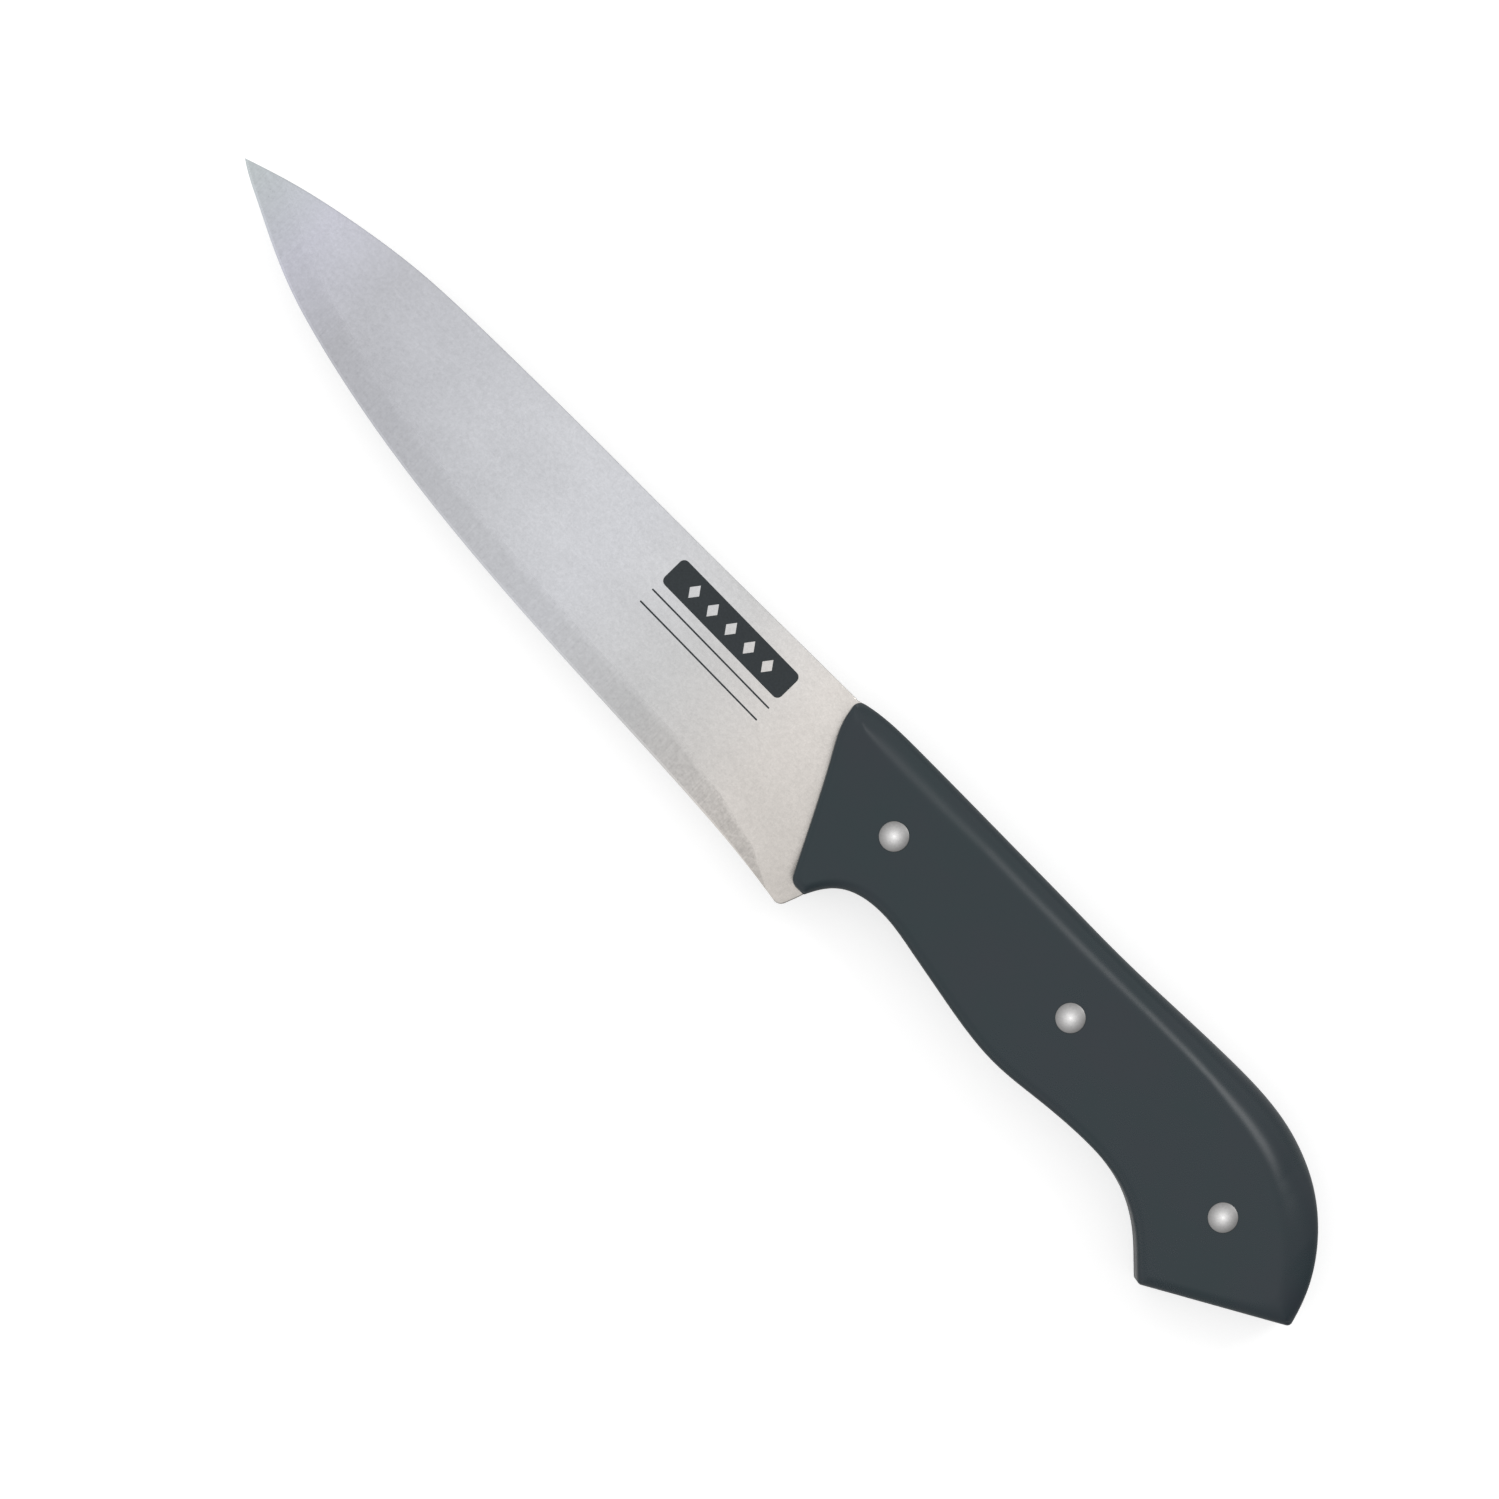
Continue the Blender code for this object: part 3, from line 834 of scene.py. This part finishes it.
def break_lines():
    """Lines along the spine, the tang and the heel at each step of their small round."""
    into_steel = left_normals(blunt_line)
    lines = []
    for inset in BREAK_INSETS:
        line = blunt_line + inset * into_steel
        lines.append(line[distance(line, blunt_line)[0] > inset - BREAK_SLACK])
    return lines


def across_band(points):
    """Each point's place across the ground band, and the share that the edge has beside it."""
    from_edge, nearest = distance(points, edge_line)
    share = np.interp(nearest[:, 0], RUN_OUT_X, RUN_OUT_SHARE)
    return from_edge / np.maximum(BAND_WIDTH * (1 - share), TINY), share


def half_thickness(points, across, edge_share):
    """Half the steel's thickness at each point."""
    blank = STEEL_HALF * np.interp(points[:, 0], TAPER_X, TAPER_SHARE)
    half = blank * (edge_share + (1 - edge_share) * np.interp(across, BAND_ACROSS, BAND_SHARE))
    lean = np.clip(BREAK - distance(points, blunt_line)[0], 0.0, None)
    rounding = BREAK - np.sqrt(BREAK**2 - lean**2)
    return half * (1 - np.minimum(BREAK_MOST, rounding / STEEL_HALF))


band_loop, diamond_loops, rule_loops = mark_loops()
lines = [(line, False) for line in band_lines() + break_lines()]
lines += [(loop, True) for loop in [band_loop] + diamond_loops + rule_loops]
lines.append((np.array([(TAPER_X[1], depth) for depth in TAPER_LINE]), False))
shank_holes = [circle(centre, SLEEVE_RADIUS + SEAT_SLACK) for centre in RIVETS]
points, faces = plan(steel_loop, shank_holes, lines)
across, edge_share = across_band(points)
band_value = np.minimum(across, BAND_ACROSS[-1])
half = half_thickness(points, band_value, edge_share)

# Each face's material: satin on the flats, ground on the band and honed along the very edge, with
# the mark on the left side
middles = points[faces].mean(axis=1)
mid_across, _ = across_band(middles)
SATIN, GROUND, HONED, MARKED = range(4)
low_index = np.where(mid_across < BAND_ACROSS[-1], GROUND, SATIN)
low_index = np.where(mid_across < BAND_ACROSS[1], HONED, low_index)
marked = inside(middles, band_loop)
for loop in diamond_loops:
    marked &= ~inside(middles, loop)
for loop in rule_loops:
    marked |= inside(middles, loop)
top_index = np.where(marked, MARKED, low_index)
blade = solid(
    "blade_and_tang",
    points,
    faces,
    MID + half,
    MID - half,
    [steel, ground, honed, mark],
    top_index.tolist(),
    low_index.tolist(),
    [("band", band_value)],
)
shade(blade)
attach(blade, "root")
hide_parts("blade")


# ---- the handle scales

closed_loop = np.concatenate([scale_loop, scale_loop[:1]])


def scale_rings():
    """Loops inside a scale's outline that its rounds follow, closest together at the rim."""
    inward = left_normals(scale_loop, closed=True)
    rings = []
    for step in range(1, ROUND_RINGS + 1):
        inset = WIDEST_ROUND * (1 - math.cos(math.pi / 2 * step / ROUND_RINGS))
        ring = scale_loop + inset * inward
        ring = ring[distance(ring, closed_loop)[0] > inset - INSET_SLACK]
        gaps = np.linalg.norm(ring - np.roll(ring, 1, axis=0), axis=1)
        rings.append(ring[gaps > NEAREST])
    return rings


def round_drop(points):
    """How far a scale's rounded face lies under its flat middle at each point."""
    from_outline = distance(points, closed_loop)[0]
    runs = (
        (top_run, np.interp(points[:, 0], ROUND_TOP_X, ROUND_TOP)),
        (butt_run, ROUND_BUTT),
        (under_run, ROUND_UNDER),
        (toe_run, ROUND_TOE),
        (front_run, ROUND_FRONT),
    )
    shares = []
    for line, _ in runs:
        away = distance(points, thin(line, COARSE_SAG, COARSE_LONGEST))[0]
        shares.append(1 / (away + ROUND_BLEND) ** 2)
    width = sum(share * wide for share, (_, wide) in zip(shares, runs)) / sum(shares)
    lean = np.clip(1 - from_outline / width, 0.0, 1.0)
    deepest = np.interp(points[:, 0], ROUND_DEEP_X, ROUND_DEEP)
    drop = np.minimum(width, deepest) * (1 - np.sqrt(1 - lean**2))
    drop[from_outline > WIDEST_ROUND - INSET_SLACK] = 0.0
    return drop


def cut_holes(scale, side):
    """Cut the stepped rivet holes and apply the cut."""
    head_hole, shank_hole = HEAD_RADIUS + SEAT_SLACK, SLEEVE_RADIUS + SEAT_SLACK
    over = FACE + CUTTER_OVERRUN
    profile = [(0.0, over), (head_hole, over), (head_hole, SEAT)]
    profile += [(shank_hole, SEAT), (shank_hole, 0.0), (0.0, 0.0)]
    cutters = []
    for number, centre in enumerate(RIVETS, start=1):
        cutter = turned(f"cutter_{number}", centre, [(r, side * z) for r, z in profile], moulding)
        cut = scale.modifiers.new(f"hole_{number}", "BOOLEAN")
        cut.operation = "DIFFERENCE"
        cut.solver = "EXACT"
        cut.object = cutter
        cutters.append(cutter)
    bpy.context.view_layer.update()
    evaluated = scale.evaluated_get(bpy.context.evaluated_depsgraph_get())
    mesh = bpy.data.meshes.new_from_object(evaluated)
    scale.modifiers.clear()
    scale.data = mesh
    for cutter in cutters:
        bpy.data.objects.remove(cutter, do_unlink=True)


points, faces = plan(scale_loop, [], [(ring, True) for ring in scale_rings()])
inner = np.full(len(points), SCALE_INNER)
outer = FACE - round_drop(points)
for name, replaced, side in (
    ("left_scale", "handle_scale_left", 1),
    ("right_scale", "handle_scale_right", -1),
):
    low, high = (inner, outer) if side > 0 else (-outer, -inner)
    scale = solid(name, points, faces, MID + high, MID + low, [moulding])
    cut_holes(scale, side)
    shade(scale)
    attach(scale, "root")
    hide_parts(replaced)


# ---- the rivets

def head_profile():
    """A rivet head's profile, from the middle of its dome over the rim to its underside."""
    arch = DOME - RIM_ROUND
    ball = (HEAD_RADIUS**2 + arch**2) / (2 * arch)
    rim_slope = math.asin(HEAD_RADIUS / ball)
    dome_edge = HEAD_RADIUS - RIM_ROUND
    profile = []
    for step in range(DOME_RINGS + 1):
        r = dome_edge * step / DOME_RINGS
        profile.append((r, FACE + DOME - ball + math.sqrt(ball**2 - r**2)))
    rim_height = profile[-1][1]
    for step in range(1, RIM_STEPS + 1):
        angle = rim_slope + (math.pi / 2 - rim_slope) * step / RIM_STEPS
        out = RIM_ROUND * (math.sin(angle) - math.sin(rim_slope)) / (1 - math.sin(rim_slope))
        down = RIM_ROUND * (math.cos(rim_slope) - math.cos(angle))
        profile.append((dome_edge + out, rim_height - down))
    return profile + [(HEAD_RADIUS, SEAT + SEAT_SLACK)]


head = head_profile()
tube_end = SEAT - SEAT_SLACK
pin_end = -(SEAT - SEAT_SLACK)
bore_end = pin_end - SEAT_SLACK
pin = head + [(PIN_RADIUS, SEAT + SEAT_SLACK), (PIN_RADIUS, pin_end), (0.0, pin_end)]
tube = [(r, -z) for r, z in head]
tube += [(SLEEVE_RADIUS, -SEAT - SEAT_SLACK), (SLEEVE_RADIUS, tube_end)]
tube += [(BORE_RADIUS, tube_end), (BORE_RADIUS, bore_end), (0.0, bore_end)]
for number, centre in enumerate(RIVETS, start=1):
    for kind, profile in (("pin", pin), ("sleeve", tube)):
        rivet = turned(f"{kind}_half_{number}", centre, profile, bright)
        shade(rivet)
        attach(rivet, "root")
        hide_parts(f"rivet_{kind}_{number}")


# ---- floor, lights and camera

def pale_floor():
    """A white floor: a little glow that only the camera sees lifts its matt grey."""
    material, tree, shader = new_material("pale_floor")
    shader.inputs["Base Color"].default_value = (FLOOR_TONE, FLOOR_TONE, FLOOR_TONE, 1.0)
    shader.inputs["Roughness"].default_value = 0.9
    shader.inputs["Specular IOR Level"].default_value = 0.1
    glow = node(tree, "ShaderNodeEmission", Color=(1.0, 1.0, 1.0, 1.0))
    seen = node(tree, "ShaderNodeLightPath").outputs["Is Camera Ray"]
    tree.links.new(maths(tree, "MULTIPLY", seen, FLOOR_GLOW), glow.inputs["Strength"])
    both = node(tree, "ShaderNodeAddShader", _0=shader.outputs[0], _1=glow.outputs[0])
    tree.links.new(both.outputs[0], tree.nodes["Material Output"].inputs["Surface"])
    return material


bpy.ops.mesh.primitive_plane_add(size=2 * FLOOR_HALF, location=(0.0, 0.0, 0.0))
floor = bpy.context.object
floor.name = "floor"
floor.data.materials.append(pale_floor())


def light_studio():
    """A soft ceiling all round, dimmer beyond the butt."""
    world = bpy.data.worlds.new("studio")
    bpy.context.scene.world = world
    world.use_nodes = True
    sky = world.node_tree
    direction = node(sky, "ShaderNodeTexCoord").outputs["Generated"]
    parts = node(sky, "ShaderNodeSeparateXYZ", _0=direction).outputs
    ramp = sky.nodes.new("ShaderNodeValToRGB")
    sky.links.new(parts["Z"], ramp.inputs["Fac"])
    stops = ramp.color_ramp.elements
    for height in SKY_HEIGHT[1:-1]:
        stops.new(height)
    for stop, height, level in zip(stops, SKY_HEIGHT, SKY_LEVEL):
        stop.position = height
        stop.color = (level, level, level, 1.0)
    strength = remap(sky, parts["X"], DIM_X, (SKY_STRENGTH, SKY_STRENGTH * DIM_KEEPS))
    background = sky.nodes["Background"]
    sky.links.new(ramp.outputs["Color"], background.inputs["Color"])
    sky.links.new(strength, background.inputs["Strength"])


def add_softbox():
    """The large soft light that draws the line of light along the handle's round."""
    light = bpy.data.lights.new("spine_side", "AREA")
    light.shape = "RECTANGLE"
    light.size, light.size_y = SOFTBOX_SIZE
    light.energy = SOFTBOX_RADIANCE * SOFTBOX_SIZE[0] * SOFTBOX_SIZE[1] * math.pi
    box = bpy.data.objects.new("spine_side", light)
    bpy.context.scene.collection.objects.link(box)
    box.location = SOFTBOX_PLACE
    direction = Vector(SOFTBOX_AIM) - Vector(SOFTBOX_PLACE)
    box.rotation_mode = "QUATERNION"
    box.rotation_quaternion = direction.to_track_quat("-Z", "Y")


def add_camera():
    """A long lens straight above the knife."""
    data = bpy.data.cameras.new("camera")
    data.lens = LENS
    data.sensor_width = SENSOR
    data.clip_start, data.clip_end = CLIP
    camera = bpy.data.objects.new("camera", data)
    bpy.context.scene.collection.objects.link(camera)
    x, y = centred(np.array([AIM]))[0]
    height = VIEW_WIDTH * LENS / SENSOR + MID
    camera.location = (x * MM, y * MM, height * MM)
    camera.rotation_euler = (0.0, 0.0, CAMERA_TURN)
    bpy.context.scene.camera = camera


light_studio()
add_softbox()
add_camera()
bpy.context.scene.view_settings.view_transform = "Standard"
